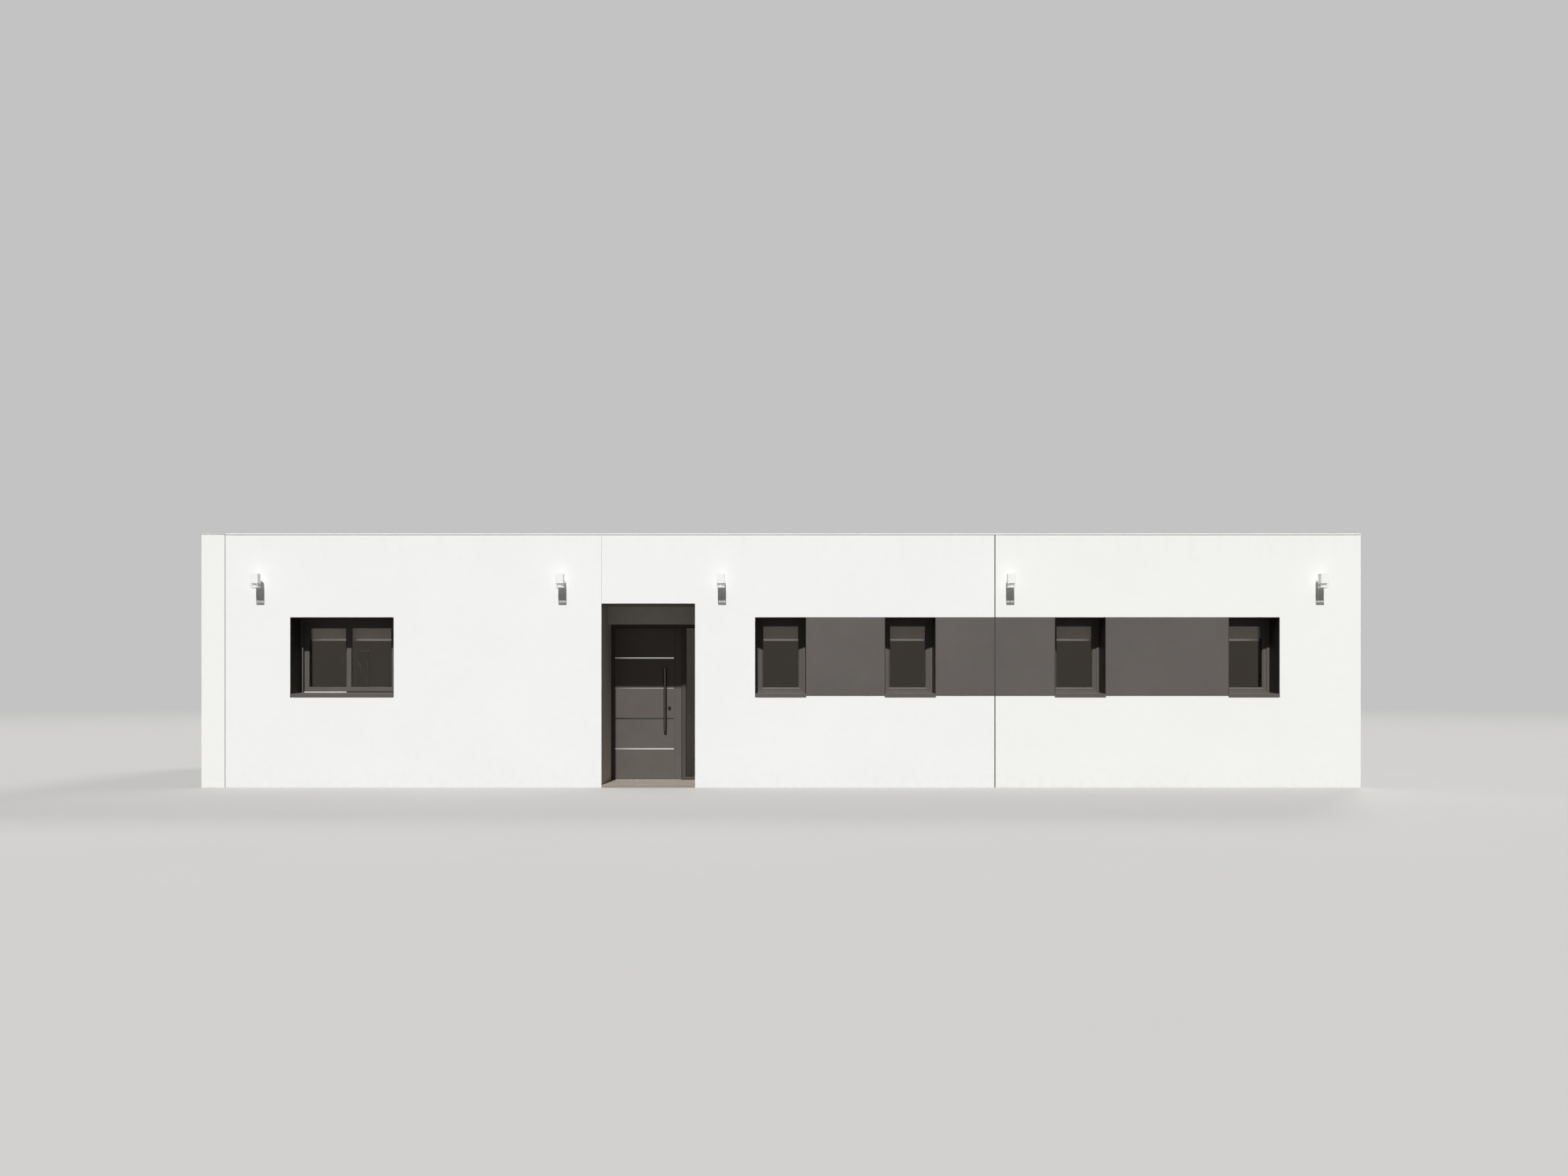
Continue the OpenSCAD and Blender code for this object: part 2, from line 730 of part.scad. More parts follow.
// A straight bar on two standoffs, with chamfered end caps behind fine grooves
module door_pull() {
    chamfer = 3;
    seam = 2;
    r = pull_d / 2;
    lower = [[0, 0], [r - chamfer, 0], [r, chamfer], [r, pull_cap], [r - seam, pull_cap],
        [r - seam, pull_cap + seam], [r, pull_cap + seam]];
    upper = [for (i = [len(lower) - 1 : -1 : 0]) [lower[i][0], pull_len - lower[i][1]]];
    color(steel) at_door() translate([pull_x, leaf_y, 0]) {
        translate([0, -pull_off, pull_z]) rotate_extrude() polygon(concat(lower, upper));
        for (z = [pull_z + standoff_in, pull_z + pull_len - standoff_in])
            translate([0, 0, z]) rotate([90, 0, 0]) cylinder(d = standoff_d, h = pull_off);
    }
}

// Outside, a rose with a tapered guard round the keyhole. Inside, a rose and a lever
guard_d = 34;
key_deep = 6;
lever_len = 120;
lever_d = 19;
lever_off = 52;
rose_t = 8;
module door_lock() {
    color(steel) at_door() translate([lock_x, 0, lock_z]) {
        translate([0, leaf_y, 0]) rotate([90, 0, 0]) cylinder(d = rose_d, h = rose_t);
        translate([0, leaf_y - rose_t, 0]) difference() {
            rotate([90, 0, 0]) cylinder(d1 = guard_d, d2 = guard_d - 4, h = guard_out - rose_t);
            translate([0, rose_t - guard_out + key_deep, 0]) {
                rotate([90, 0, 0]) cylinder(d = 8, h = key_deep + over);
                block(-1.5, 1.5, -key_deep - over, 0, -10, 0);
            }
        }
        translate([0, leaf_back + rose_t, 0]) rotate([90, 0, 0]) cylinder(d = rose_d + 8, h = rose_t);
        translate([0, leaf_back + lever_off, 0]) rotate([90, 0, 0])
            cylinder(d = lever_d, h = lever_off - rose_t);
        translate([0, leaf_back + lever_off, 0]) rotate([0, -90, 0]) cylinder(d = lever_d, h = lever_len);
        translate([0, leaf_back + lever_off, 0]) sphere(d = lever_d);
    }
}

// Hinges at the back of the leaf: the pin and two knuckles belong to the frame
pivot_x = leaf_x0 - run_gap / 2;
pivot_y = leaf_back + barrel_d / 2 + 1;
flap_t = 3;
flap_w = 40;
knuckle_gap = 0.5;

module barrel(h) translate([0, 0, -h / 2]) cylinder(d = barrel_d, h = h);

module frame_hinge() {
    reach = knuckle_h + knuckle_gap;
    flap_y = frame_d - pivot_y;
    block(4 - pivot_x, -4.5, flap_y, flap_y + flap_t, -1.5 * knuckle_h, 1.5 * knuckle_h);
    for (s = [-1, 1]) {
        translate([0, 0, s * reach]) barrel(knuckle_h);
        block(-barrel_d / 2, 0, frame_d - pivot_y, 0, s * reach - knuckle_h / 2, s * reach + knuckle_h / 2);
    }
    translate([0, 0, -reach - knuckle_h / 2]) cylinder(d = pin_d, h = 2 * reach + knuckle_h);
}

module leaf_hinge() {
    plate_y = leaf_back - pivot_y;
    difference() {
        union() {
            barrel(knuckle_h);
            block(0, leaf_x0 - pivot_x + flap_t, plate_y, 0, -knuckle_h / 2, knuckle_h / 2);
            block(leaf_x0 - pivot_x + flap_t, leaf_x0 - pivot_x + flap_t + flap_w, plate_y, plate_y + flap_t,
                -1.5 * knuckle_h, 1.5 * knuckle_h);
        }
        translate([0, 0, -knuckle_h]) cylinder(d = pin_d + 2 * pin_clear, h = 2 * knuckle_h);
    }
}

module at_hinges() at_door() for (z = hinge_z) translate([pivot_x, pivot_y, z]) children();

module frame_hinges() color(steel) at_hinges() frame_hinge();

module leaf_hinges() color(steel) at_hinges() leaf_hinge();

module roof_slab() {
    color("gainsboro") at_front()
        block(side_t, house_w - side_t, front_t, house_d - front_t, ceiling_z, ceiling_z + roof_t);
}

module roof_covering() {
    color("silver") at_front()
        block(side_t, house_w - side_t, front_t, house_d - front_t, ceiling_z + roof_t, roof_top);
}

// Domed gravel guards over the two drains
outlet_in = 900;
module roof_outlets() {
    r = outlet_d / 2;
    color("dimgray") at_rear() for (x = [house_w * 0.25, house_w * 0.75])
        translate([x, front_t + outlet_in, roof_top]) rotate_extrude()
            polygon(concat([[0, 0], [r, 0], [r, 12]],
                [for (a = [0 : 15 : 90]) [(r - 20) * cos(a), 12 + (outlet_h - 12) * sin(a)]]));
}

// Coping: a plate that falls to the roof, with a drip edge outside
module coping_profile(t) {
    polygon([[-coping_over, wall_top - coping_drip], [-coping_over + 3, wall_top - coping_drip],
        [-coping_over + 3, wall_top], [t + coping_over, wall_top], [t + coping_over, house_h - coping_fall],
        [-coping_over, house_h]]);
}

module parapet_coping() {
    color(white) {
        at_front() run_x(side_t + coping_over + coping_gap, house_w + coping_over) coping_profile(front_t);
        at_rear() run_x(-coping_over, house_w - side_t - coping_over - coping_gap) coping_profile(front_t);
        at_left() run_x(-coping_over, house_d - front_t - coping_over - coping_gap) coping_profile(side_t);
        at_right() run_x(front_t + coping_over + coping_gap, house_d + coping_over) coping_profile(side_t);
    }
}

// Wall lamps: a square can over a ring on four posts, with a lit gap between that a thin rib divides
ring_top = lamp_z + ring_h;
can_z = ring_top + lamp_gap;
lamp_top = can_z + can_h;
rib_z = ring_top + (lamp_gap - rib_h) * 0.4;
lamp_axis = lamp_off + lamp_deep / 2;
post_d = can_t - 1;
post_in = can_t / 2 + 0.5;
diffuser_r = min(lamp_w, lamp_deep) / 2 - can_t - 12;
diffuser_up = 8;
cavity_h = 70;

module each_lamp() {
    for (x = concat(lamp_x, [house_w - lamp_end])) {
        at_front() translate([x, 0, 0]) children();
        at_rear() translate([x, 0, 0]) children();
    }
}

// A square bar with bevelled edges, set in from the lamp's outside
module lamp_bar(z0, z1, inset) {
    w = lamp_w / 2 - inset;
    d = lamp_deep / 2 - inset;
    b = lamp_bevel;
    translate([0, 0, z0]) linear_extrude(z1 - z0)
        polygon([[b - w, -d], [w - b, -d], [w, b - d], [w, d - b], [w - b, d], [b - w, d], [-w, d - b],
            [-w, b - d]]);
}

module lamp_ring(z0, z1) {
    difference() {
        lamp_bar(z0, z1, 0);
        lamp_bar(z0 - over, z1 + over, can_t);
    }
}

module lamp_bodies() {
    color(white) each_lamp() translate([0, -lamp_axis, 0]) {
        difference() {
            lamp_bar(can_z, lamp_top, 0);
            lamp_bar(can_z - over, can_z + cavity_h, can_t);
        }
        lamp_ring(rib_z, rib_z + rib_h);
        lamp_ring(lamp_z, ring_top);
        for (x = [-1, 1], y = [-1, 1])
            translate([x * (lamp_w / 2 - post_in), y * (lamp_deep / 2 - post_in), ring_top - over])
                cylinder(d = post_d, h = lamp_gap + 2 * over);
    }
}

module lamp_brackets() {
    color(white) each_lamp() translate([0, 0, can_z + can_h / 2]) rotate([90, 0, 0]) {
        cylinder(d = plate_d, h = plate_t);
        cylinder(d = arm_d, h = lamp_off);
    }
}

module lamp_diffusers() {
    color("ivory") each_lamp() translate([0, -lamp_axis, lamp_z + diffuser_up])
        cylinder(r = diffuser_r, h = can_z + cavity_h - lamp_z - diffuser_up);
}

floor_slab();
porch_slab();
left_wall();
right_wall();
front_wall_left();
front_wall_over_door();
front_wall_middle();
front_wall_right();
rear_wall_left();
rear_wall_middle();
rear_wall_right();
panel_joints();
niche_left_wall();
niche_right_wall();
niche_lintel();
niche_ceiling();
window_bands();
window_linings();
window_sills();
window_frames();
window_sashes();
sliding_sashes();
track_covers();
window_glass();
window_handles();
window_blinds();
blind_cassettes();
blind_rails();
door_posts();
door_head();
door_threshold();
side_light_glass();
frame_hinges();
door_leaf();
door_inlays();
door_pull();
door_lock();
leaf_hinges();
roof_slab();
roof_covering();
roof_outlets();
parapet_coping();
lamp_bodies();
lamp_brackets();
lamp_diffusers();
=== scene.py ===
import math
import random

import bmesh
import bpy
from mathutils import Matrix, Vector


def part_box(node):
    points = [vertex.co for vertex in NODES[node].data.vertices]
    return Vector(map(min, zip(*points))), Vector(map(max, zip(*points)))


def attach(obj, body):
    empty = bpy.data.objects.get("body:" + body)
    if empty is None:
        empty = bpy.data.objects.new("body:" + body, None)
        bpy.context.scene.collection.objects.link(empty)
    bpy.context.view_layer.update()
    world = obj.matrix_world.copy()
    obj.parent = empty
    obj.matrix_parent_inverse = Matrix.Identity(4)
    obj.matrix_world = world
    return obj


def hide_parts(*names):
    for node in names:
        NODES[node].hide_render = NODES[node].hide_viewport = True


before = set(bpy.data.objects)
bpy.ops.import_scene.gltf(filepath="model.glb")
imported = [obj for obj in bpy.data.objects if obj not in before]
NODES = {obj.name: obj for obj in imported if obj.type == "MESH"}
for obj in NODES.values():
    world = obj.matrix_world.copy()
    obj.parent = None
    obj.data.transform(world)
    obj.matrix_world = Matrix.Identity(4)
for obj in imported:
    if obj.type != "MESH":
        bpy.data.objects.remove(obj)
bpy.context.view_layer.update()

HOUSE = "house"
MM = 0.001

# Camera: level, looking along +Y, with a rise that frames the house as the picture does
EYE = Vector((0.04, -21.24, 1.37))
LENS_MM, SENSOR_MM = 28.68, 36.0
RISE = 0.064

# Light: a key lamp high in front, a weak and soft one from behind, and a pale surround.
# FROM is a lamp's azimuth and elevation in degrees, SPREAD its apparent size in degrees.
KEY_FROM = (-3.7, 49.2)
KEY_STRENGTH, KEY_SPREAD = 4.2, 1.4
BACK_FROM = (152.0, 34.0)
BACK_STRENGTH, BACK_SPREAD = 1.1, 12.0
SKY_TINT = (0.97, 0.985, 1.0)
SKY_LOW, SKY_HIGH = 0.06, 0.26
BACKDROP = (0.545, 0.545, 0.545)
FLOOR_TONE = (0.46, 0.455, 0.446)
FLOOR_BOUNCE = 0.27
FLOOR_REACH = 600.0
FADE_START, FADE_END = 24.0, 75.0

# Colours of the walls
WHITE = (0.880, 0.878, 0.868)
WARM_WHITE = (0.880, 0.878, 0.852)
SPLASH_TONE = (0.651, 0.616, 0.560)
NICHE_TONE = (0.50, 0.465, 0.42)
# Painted shade: how much darker the downward faces inside the entrance recess are drawn
PAINTED_UNDERSIDE_SHADE = (0.55, 0.55, 0.55)
BAND_TONE = (0.110, 0.099, 0.0915)
SCREED_TONE = (0.310, 0.268, 0.225)
CONCRETE_TONE = (0.50, 0.49, 0.47)
STONE_TONES = (
    (0.0, (0.23, 0.22, 0.21)),
    (0.4, (0.40, 0.385, 0.36)),
    (0.75, (0.52, 0.50, 0.47)),
    (1.0, (0.68, 0.66, 0.62)),
)

# Colours of metal
ANTHRACITE = (0.114, 0.103, 0.092)
# The reveal linings' dark coat, made darker still: partly their colour, partly painted shade for the deep
# shade in the reveals
LINING_TONE_WITH_PAINTED_SHADE = (0.034, 0.030, 0.027)
DOOR_TONE = (0.116, 0.104, 0.093)
COPING_TONE = (0.87, 0.868, 0.855)
LAMP_TONE = (0.90, 0.897, 0.885)
COVER_TONE = (0.70, 0.67, 0.63)
THRESHOLD_TONE = (0.40, 0.385, 0.36)
RAIL_TONE = (0.56, 0.54, 0.535)
STEEL_TONE = (0.70, 0.69, 0.66)
DARK_STEEL = (0.110, 0.104, 0.102)

# The door's steel strips, from the lowest to the highest, as shares of STRIP_TONE: painted reflections, each
# strip drawn lighter or darker as if it mirrored a bright or dark part of the surround
STRIP_TONE = (0.95, 0.94, 0.92)
STRIP_PAINTED_REFLECTIONS = (1.0, 0.09, 0.46, 0.72)

# How the pattern of brushed lines is scaled: the small value is the axis that they run along
ALONG_X = (0.03, 1.0, 1.0)
ALONG_Z = (1.0, 1.0, 0.03)
EVEN = (1.0, 1.0, 1.0)

# Colours of glass, cloth, rubber and plastic. LIGHT is what a pane lets through.
GLASS_TONE, GLASS_LIGHT = (0.80, 0.775, 0.74), (0.93, 0.915, 0.89)
GLASS_MIRROR = (1.0, 0.88, 0.78)
OPAL_TONE, OPAL_LIGHT = (0.93, 0.92, 0.89), (0.86, 0.86, 0.85)
CLOTH_TONE = (0.80, 0.765, 0.725)
SEALANT_TONE = (0.032, 0.031, 0.030)
GASKET_TONE = (0.012, 0.012, 0.012)
DRAIN_TONE, RIB_TONE = (0.045, 0.045, 0.045), (0.05, 0.05, 0.05)

# Sizes and places on the object that the frame lacks
RUNS_HEIGHT = (3.05, 3.5)
SPLASH_HEIGHT = (0.02, 0.35)
SHARP = math.radians(40)
CLOTH_THICK = 0.6 * MM
THREADS_PER_METRE = 1400.0
BED_STONE, LOOSE_STONE = 32 * MM, 50 * MM
STONE_COUNT = 9000
STONE_RADII_MM = (10, 24)
SCREW_OUTLINE_MM = ((0, 0.2), (1.2, 0.2), (1.6, 1.2), (3.6, 0.9), (4, 0))


# Places read from the frame

def solids(node):
    """The lowest and highest corner of each separate solid in a CAD node."""
    mesh = bmesh.new()
    mesh.from_mesh(NODES[node].data)
    bmesh.ops.remove_doubles(mesh, verts=mesh.verts, dist=1e-6)
    left, found = set(mesh.verts), []
    while left:
        queue, island = [left.pop()], []
        while queue:
            vert = queue.pop()
            island.append(vert.co.copy())
            for edge in vert.link_edges:
                other = edge.other_vert(vert)
                if other in left:
                    left.remove(other)
                    queue.append(other)
        found.append((Vector(map(min, *island)), Vector(map(max, *island))))
    mesh.free()
    return sorted(found, key=lambda box: [round(value, 4) for corner in box for value in corner])


class Facing:
    """A box on a wall as seen from outside: u runs right, z up and out leaves the wall."""

    def __init__(self, box):
        lo, hi = box
        self.centre = (lo + hi) / 2
        size = hi - lo
        if size.y < size.x:
            self.out = Vector((0, math.copysign(1, self.centre.y), 0))
            self.width, self.depth = size.x, size.y
        else:
            self.out = Vector((math.copysign(1, self.centre.x), 0, 0))
            self.width, self.depth = size.y, size.x
        self.right = Vector((-self.out.y, self.out.x, 0))
        self.height = size.z

    def matrix(self):
        """Turns local x, y, z into right, into the wall, and up."""
        turn = Matrix((self.right, -self.out, Vector((0, 0, 1)))).transposed()
        return Matrix.Translation(self.centre) @ turn.to_4x4()


# Mesh tools

def add_box(mesh, lo, hi, place=Matrix.Identity(4), bevel=0.0):
    lo, hi = Vector(lo), Vector(hi)
    made = bmesh.ops.create_cube(mesh, size=1.0)["verts"]
    scale = Matrix.Diagonal((*(hi - lo), 1.0))
    bmesh.ops.transform(mesh, matrix=place @ Matrix.Translation((lo + hi) / 2) @ scale, verts=made)
    if bevel > 0:
        edges = {edge for vert in made for edge in vert.link_edges}
        bmesh.ops.bevel(mesh, geom=list(edges), offset=bevel, segments=2, affect="EDGES", profile=0.5)


def add_turned(mesh, outline, place=Matrix.Identity(4), steps=24):
    """Turns an outline of (radius, height) points about local z."""
    rings = []
    for radius, height in outline:
        angles = [math.tau * i / steps for i in range(steps)]
        points = [Vector((radius * math.cos(a), radius * math.sin(a), height)) for a in angles]
        if radius == 0:
            points = points[:1]
        rings.append([mesh.verts.new(place @ p) for p in points])
    for low, high in zip(rings, rings[1:]):
        for i in range(steps):
            j = (i + 1) % steps
            corners = [low[i % len(low)], low[j % len(low)], high[j % len(high)], high[i % len(high)]]
            corners = [v for k, v in enumerate(corners) if v not in corners[:k]]
            if len(corners) > 2:
                mesh.faces.new(corners)


def add_ring(mesh, width, height, member, y0, y1, place):
    """A rectangular ring in the plane of a wall, centred on place."""
    right, top = width / 2, height / 2
    outer = [(-right, -top), (right, -top), (right, top), (-right, top)]
    inner = [(x - math.copysign(member, x), z - math.copysign(member, z)) for x, z in outer]
    loops = []
    for corners, y in ((outer, y0), (inner, y0), (inner, y1), (outer, y1)):
        loops.append([mesh.verts.new(place @ Vector((x, y, z))) for x, z in corners])
    for loop, following in zip(loops, loops[1:] + loops[:1]):
        for i in range(4):
            j = (i + 1) % 4
            mesh.faces.new((loop[i], following[i], following[j], loop[j]))


def hang(name, data, material):
    """Puts a mesh into the scene as a piece of the house."""
    data.materials.append(material)
    made = bpy.data.objects.new(name, data)
    bpy.context.scene.collection.objects.link(made)
    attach(made, HOUSE)
    return made


def piece(name, mesh, material):
    """Makes a piece of the house from a bmesh."""
    bmesh.ops.recalc_face_normals(mesh, faces=mesh.faces)
    data = bpy.data.meshes.new(name)
    mesh.to_mesh(data)
    mesh.free()
    return hang(name, data, material)


# Materials

class Surface:
    """One procedural material, with short names for the nodes that it needs."""

    def __init__(self, name, roughness, metallic=0.0):
        self.material = bpy.data.materials.new(name)
        self.material.use_nodes = True
        self.tree = self.material.node_tree
        self.shader = self.tree.nodes["Principled BSDF"]
        self.set("Roughness", roughness)
        self.set("Metallic", metallic)
        self.place = self.node("TexCoord").outputs["Object"]

    def node(self, kind, **settings):
        made = self.tree.nodes.new("ShaderNode" + kind)
        for name, value in settings.items():
            setattr(made, name, value)
        return made

    def link(self, source, target):
        self.tree.links.new(source, target)

    def set(self, name, value):
        self.shader.inputs[name].default_value = value

    def drive(self, name, source):
        self.link(source, self.shader.inputs[name])

    def stretched(self, stretch):
        mapping = self.node("Mapping")
        mapping.inputs["Scale"].default_value = stretch
        self.link(self.place, mapping.inputs["Vector"])
        return mapping.outputs["Vector"]

    def noise(self, scale, detail=3.0, rough=0.55, stretch=None):
        made = self.node("TexNoise")
        made.inputs["Scale"].default_value = scale
        made.inputs["Detail"].default_value = detail
        made.inputs["Roughness"].default_value = rough
        self.link(self.stretched(stretch) if stretch else self.place, made.inputs["Vector"])
        return made.outputs["Fac"]

    def cells(self, scale, output="Distance"):
        made = self.node("TexVoronoi")
        made.inputs["Scale"].default_value = scale
        self.link(self.place, made.inputs["Vector"])
        return made.outputs[output]

    def ramp(self, source, *stops):
        """stops are (place, colour or grey level)."""
        made = self.node("ValToRGB")
        elements = made.color_ramp.elements
        while len(elements) < len(stops):
            elements.new(0.5)
        for element, (at, tone) in zip(elements, stops):
            element.position = at
            element.color = (*tone, 1) if hasattr(tone, "__len__") else (tone, tone, tone, 1)
        self.link(source, made.inputs["Fac"])
        return made.outputs["Color"]

    def mix(self, mode, share, first, second):
        made = self.node("MixRGB", blend_type=mode)
        for socket, value in zip(made.inputs, (share, first, second)):
            if isinstance(value, bpy.types.NodeSocket):
                self.link(value, socket)
            elif hasattr(value, "__len__"):
                socket.default_value = (*value, 1)
            else:
                socket.default_value = value
        return made.outputs["Color"]

    def maths(self, operation, first, second=0.0):
        made = self.node("Math", operation=operation)
        for socket, value in zip(made.inputs, (first, second)):
            if isinstance(value, bpy.types.NodeSocket):
                self.link(value, socket)
            else:
                socket.default_value = value
        return made.outputs["Value"]

    def parts_of(self, vector):
        made = self.node("SeparateXYZ")
        self.link(vector, made.inputs["Vector"])
        return made.outputs["X"], made.outputs["Y"], made.outputs["Z"]

    def bump(self, height, distance, strength=1.0, under=None):
        made = self.node("Bump")
        made.inputs["Distance"].default_value = distance
        made.inputs["Strength"].default_value = strength
        self.link(height, made.inputs["Height"])
        if under is not None:
            self.link(under, made.inputs["Normal"])
        return made.outputs["Normal"]

    def varied_rough(self, source, low, high):
        self.drive("Roughness", self.ramp(source, (0.3, low), (0.7, high)))

    def blend(self, share, other):
        """Mixes another shader in by share, 0 being all of the surface's own."""
        choice = self.node("MixShader")
        self.link(share, choice.inputs["Fac"])
        self.link(self.shader.outputs["BSDF"], choice.inputs[1])
        self.link(other, choice.inputs[2])
        self.link(choice.outputs["Shader"], self.tree.nodes["Material Output"].inputs["Surface"])


def shade(tone, factor):
    return tuple(channel * factor for channel in tone)


def render_coat(surface, tone, grain=0.010, patches=0.014):
    """Fine mineral render: a faint uneven drying, a fine grain and a trowelled relief."""
    broad = surface.ramp(surface.noise(0.9, 4.0), (0.35, shade(tone, 1 - patches)), (0.65, tone))
    speck = surface.ramp(surface.noise(420.0, 2.0), (0.3, 1 - 2 * grain), (0.7, 1.0))
    worked = surface.ramp(surface.noise(9.0, 3.0), (0.35, 1 - grain), (0.65, 1.0))
    coloured = surface.mix("MULTIPLY", 1.0, surface.mix("MULTIPLY", 1.0, broad, speck), worked)
    relief = surface.bump(surface.noise(14.0, 3.0), 0.002, 0.35)
    fine = surface.bump(surface.noise(380.0, 3.0, 0.7), 0.0008, 0.6, relief)
    surface.drive("Normal", fine)
    surface.varied_rough(surface.noise(6.0), 0.82, 0.93)
    surface.set("Specular IOR Level", 0.25)
    return coloured


def height_mask(surface, low, high):
    """1 at or below low, falling to 0 at high, over the height of the house."""
    made = surface.node("MapRange", clamp=True)
    made.inputs["From Min"].default_value = low
    made.inputs["From Max"].default_value = high
    made.inputs["To Min"].default_value = 1.0
    made.inputs["To Max"].default_value = 0.0
    surface.link(surface.parts_of(surface.place)[2], made.inputs["Value"])
    return made.outputs["Result"]


def weathered(surface, coloured, tone):
    """Thin grey runs below the coping and a slight splash zone over the ground."""
    runs = surface.ramp(surface.noise(5.0, 4.0, 0.6, (1.0, 1.0, 0.12)), (0.5, 0.0), (0.75, 1.0))
    under_top = surface.maths("SUBTRACT", 1.0, height_mask(surface, *RUNS_HEIGHT))
    share = surface.maths("MULTIPLY", surface.maths("MULTIPLY", runs, under_top), 0.10)
    coloured = surface.mix("MIX", share, coloured, shade(tone, 0.62))
    splash = surface.ramp(surface.noise(11.0, 4.0, 0.65), (0.42, 0.0), (0.7, 1.0))
    near_ground = surface.maths("MULTIPLY", splash, height_mask(surface, *SPLASH_HEIGHT))
    share = surface.maths("MULTIPLY", near_ground, 0.14)
    return surface.mix("MIX", share, coloured, SPLASH_TONE)


def white_render(name, tone):
    """White render with slight weathering."""
    surface = Surface(name, 0.9)
    surface.drive("Base Color", weathered(surface, render_coat(surface, tone), tone))
    return surface.material


def white_render_at_entrance():
    """White render whose faces inside the entrance recess are grey like the recess, with painted shade on the
    faces there that look down.
    """
    surface = Surface("white_render_at_entrance", 0.9)
    white = weathered(surface, render_coat(surface, WHITE), WHITE)
    floor_lo, floor_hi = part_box("porch_slab")
    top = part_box("niche_ceiling")[0].z
    x, _, z = surface.parts_of(surface.place)
    _, facing, rising = surface.parts_of(surface.node("NewGeometry").outputs["Normal"])
    slack, slant = 4 * MM, 0.7
    inside = surface.maths("GREATER_THAN", x, floor_lo.x - slack)
    for test in (
        surface.maths("LESS_THAN", x, floor_hi.x + slack),
        surface.maths("LESS_THAN", z, top + slack),
        surface.maths("LESS_THAN", surface.maths("ABSOLUTE", facing), slant),
    ):
        inside = surface.maths("MULTIPLY", inside, test)
    grain = surface.ramp(surface.noise(300.0, 2.0), (0.3, shade(NICHE_TONE, 0.93)), (0.7, NICHE_TONE))
    # Painted shade: faces in the recess that look down are drawn darker, as if in shade
    under = surface.maths("LESS_THAN", rising, -slant)
    grain = surface.mix("MULTIPLY", under, grain, PAINTED_UNDERSIDE_SHADE)
    surface.drive("Base Color", surface.mix("MIX", inside, white, grain))
    return surface.material


def niche_render(name, tone):
    """The recess's grey render, more uneven than the white one."""
    surface = Surface(name, 0.9)
    surface.drive("Base Color", render_coat(surface, tone, 0.035, 0.07))
    return surface.material


def band_cladding():
    """The grey cladding between the single windows."""
    surface = Surface("band_cladding", 0.7)
    pale, deep = shade(BAND_TONE, 1.03), shade(BAND_TONE, 0.93)
    broad = surface.ramp(surface.noise(1.6, 4.0), (0.35, deep), (0.65, pale))
    speck = surface.ramp(surface.noise(500.0, 2.0), (0.35, 0.90), (0.65, 1.06))
    surface.drive("Base Color", surface.mix("MULTIPLY", 1.0, broad, speck))
    surface.drive("Normal", surface.bump(surface.noise(360.0, 3.0, 0.7), 0.0006, 0.7))
    surface.varied_rough(surface.noise(12.0), 0.62, 0.74)
    surface.set("Specular IOR Level", 0.3)
    return surface.material


def powder_coat(name, tone, roughness, spread=0.05, gloss=0.18):
    """Powder coated metal: fine orange peel, a faint film of dust and a slight unevenness."""
    surface = Surface(name, roughness)
    deep, pale = shade(tone, 1 - spread), shade(tone, 1 + spread)
    dust = surface.ramp(surface.noise(3.5, 5.0, 0.6), (0.35, deep), (0.7, pale))
    fleck = surface.ramp(surface.noise(900.0, 1.0), (0.4, 0.95), (0.6, 1.03))
    surface.drive("Base Color", surface.mix("MULTIPLY", 1.0, dust, fleck))
    surface.drive("Normal", surface.bump(surface.noise(650.0, 2.0), 0.0003, 0.45))
    surface.varied_rough(surface.noise(5.0, 4.0), roughness - 0.05, roughness + 0.06)
    surface.set("Specular IOR Level", gloss)
    return surface.material


def brushed_steel(name, tone, stretch, low=0.28, high=0.42):
    """Stainless steel, brushed along the axis that stretch makes long."""
    surface = Surface(name, 0.34, 1.0)
    lines = surface.noise(260.0, 3.0, 0.7, stretch)
    surface.drive("Base Color", surface.ramp(lines, (0.3, shade(tone, 0.86)), (0.7, tone)))
    surface.drive("Normal", surface.bump(lines, 0.0002, 0.5))
    surface.varied_rough(surface.noise(30.0, 3.0, 0.6, stretch), low, high)
    return surface.material


def inlay_steel():
    """Brushed level strips, each with its own brightness by its height on the door, as a painted reflection.
    """
    surface = Surface("inlay_steel", 0.3, 1.0)
    lines = surface.noise(260.0, 3.0, 0.7, ALONG_X)
    ramp_height = 2.0
    height = surface.maths("DIVIDE", surface.parts_of(surface.place)[2], ramp_height)
    middles = [(lo.z + hi.z) / 2 for lo, hi in solids("door_inlays")]
    # Painted reflection: each strip's brightness is set by its height
    level = surface.ramp(height, *[(z / ramp_height, tone) for z, tone in zip(middles, STRIP_PAINTED_REFLECTIONS)])
    brushed = surface.ramp(lines, (0.3, shade(STRIP_TONE, 0.9)), (0.7, STRIP_TONE))
    surface.drive("Base Color", surface.mix("MULTIPLY", 1.0, brushed, level))
    surface.drive("Normal", surface.bump(lines, 0.0002, 0.4))
    surface.varied_rough(surface.noise(30.0, 3.0, 0.6, ALONG_X), 0.26, 0.36)
    return surface.material


